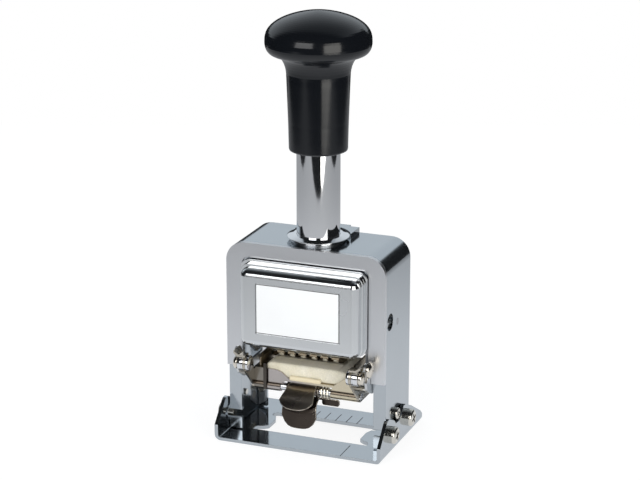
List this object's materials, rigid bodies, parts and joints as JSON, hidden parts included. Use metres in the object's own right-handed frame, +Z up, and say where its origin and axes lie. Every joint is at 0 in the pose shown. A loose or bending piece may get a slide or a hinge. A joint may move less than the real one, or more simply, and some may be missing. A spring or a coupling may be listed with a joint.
{
  "type": "numbering machine",
  "caption": "Desk numbering machine: a knob on a chromed tube pushes a case of figure wheels down through an arch frame while a felt pad swings forward.",
  "frame": {"origin": "where the plunger's axis meets the table, on the plane of the base's underside", "axes": "+Z up along the plunger, -Y towards the front cover and finger tabs, +X to the right"},
  "size_m": [0.0684, 0.0454, 0.1557],
  "materials": {
    "frame_chrome": "bright chrome plate over pressed steel",
    "front_satin": "satin chrome plate",
    "base_chrome": "bright chrome plate over pressed sheet",
    "screw_nickel": "nickel plate",
    "steel_plain": "plain ground steel",
    "spring_steel": "spring steel",
    "knob_black": "high gloss black",
    "tube_chrome": "polished chrome",
    "case_steel": "plain sheet steel",
    "cover_chrome": "satin chrome with bright edges",
    "label_white": "plain white film",
    "wheel_brass": "engraved brass",
    "dial_dark": "moulded dark plastic",
    "lock_dark": "blackened steel",
    "carriage_chrome": "bright nickel plate",
    "felt_cream": "dense wool felt",
    "tab_mirror": "polished nickel"
  },
  "bodies": {
    "frame": {"frame_shell": "frame_chrome", "front_plate": "front_satin", "base_plate": "base_chrome", "base_screws": "screw_nickel", "base_spacers": "steel_plain", "leg_pins": "screw_nickel", "collar_nut": "tube_chrome", "collar_washer": "steel_plain", "lock_bracket": "frame_chrome", "spring_bar": "steel_plain", "return_spring": "spring_steel", "cam_plates": "case_steel", "cam_plate_screws": "screw_nickel"},
    "lock": {"lock_button": "lock_dark"},
    "plunger": {"knob": "knob_black", "plunger_tube": "tube_chrome", "tube_plug": "steel_plain", "bridge_plate": "case_steel", "case_side_left": "case_steel", "case_side_right": "case_steel", "front_cover": "cover_chrome", "label_plate": "label_white", "rear_cover": "cover_chrome", "wheel_shaft": "steel_plain", "wheel_spacers": "steel_plain", "retaining_comb": "spring_steel", "tie_rods": "steel_plain", "carriage_pivot_screws": "screw_nickel", "selector_post": "steel_plain"},
    "wheel_1": {"number_wheel_1": "wheel_brass"},
    "wheel_2": {"number_wheel_2": "wheel_brass"},
    "wheel_3": {"number_wheel_3": "wheel_brass"},
    "wheel_4": {"number_wheel_4": "wheel_brass"},
    "wheel_5": {"number_wheel_5": "wheel_brass"},
    "wheel_6": {"number_wheel_6": "wheel_brass"},
    "drive": {"drive_yoke": "case_steel", "drive_pawl": "steel_plain", "pawl_rod": "steel_plain"},
    "selector": {"selector_dial": "dial_dark"},
    "pad_carriage": {"arm_left": "carriage_chrome", "arm_right": "carriage_chrome", "side_plates": "carriage_chrome", "cross_pins": "screw_nickel", "pad_tray": "carriage_chrome", "ink_pad": "felt_cream", "upper_finger_tab": "tab_mirror", "hinge_rod": "carriage_chrome", "pivot_bosses": "tube_chrome", "boss_screws": "screw_nickel", "guide_rollers": "screw_nickel", "torsion_spring": "spring_steel"},
    "pad_lever": {"release_lever": "tab_mirror"}
  },
  "joints": [
    {"name": "plunger_slide", "type": "slide", "parent": "frame", "child": "plunger", "axis": [0, 0, -1], "range_m": [0, 0.028], "stiffness_N_per_m": 350, "springref_m": -0.025, "deforming": ["return_spring"]},
    {"name": "pad_swing", "type": "hinge", "parent": "plunger", "child": "pad_carriage", "pos_m": [0, -0.00771, 0.04854], "axis": [-1, 0, 0], "range_deg": [0, 93]},
    {"name": "pad_release", "type": "hinge", "parent": "pad_carriage", "child": "pad_lever", "pos_m": [0, -0.01141, 0.0204], "axis": [-1, 0, 0], "range_deg": [0, 12], "stiffness_Nm_per_rad": 0.05, "springref_deg": -5.73},
    {"name": "drive_rock", "type": "hinge", "parent": "plunger", "child": "drive", "pos_m": [0, 0, 0.0367], "axis": [1, 0, 0], "range_deg": [0, 36]},
    {"name": "wheel_1_spin", "type": "hinge", "parent": "plunger", "child": "wheel_1", "pos_m": [0, 0, 0.0367], "axis": [1, 0, 0], "continuous": true},
    {"name": "wheel_2_spin", "type": "hinge", "parent": "plunger", "child": "wheel_2", "pos_m": [0, 0, 0.0367], "axis": [1, 0, 0], "continuous": true},
    {"name": "wheel_3_spin", "type": "hinge", "parent": "plunger", "child": "wheel_3", "pos_m": [0, 0, 0.0367], "axis": [1, 0, 0], "continuous": true},
    {"name": "wheel_4_spin", "type": "hinge", "parent": "plunger", "child": "wheel_4", "pos_m": [0, 0, 0.0367], "axis": [1, 0, 0], "continuous": true},
    {"name": "wheel_5_spin", "type": "hinge", "parent": "plunger", "child": "wheel_5", "pos_m": [0, 0, 0.0367], "axis": [1, 0, 0], "continuous": true},
    {"name": "wheel_6_spin", "type": "hinge", "parent": "plunger", "child": "wheel_6", "pos_m": [0, 0, 0.0367], "axis": [1, 0, 0], "continuous": true},
    {"name": "selector_turn", "type": "hinge", "parent": "plunger", "child": "selector", "pos_m": [0.00953, 0.01273, 0.04331], "axis": [0, 1, 0], "range_deg": [0, 315]},
    {"name": "lock_press", "type": "slide", "parent": "frame", "child": "lock", "axis": [0, -1, 0], "range_m": [0, 0.0014]}
  ],
  "couplings": [
    {"joint": "pad_swing", "follows": "plunger_slide", "rad_per_m": 57.9},
    {"joint": "drive_rock", "follows": "plunger_slide", "rad_per_m": 22.4}
  ]
}
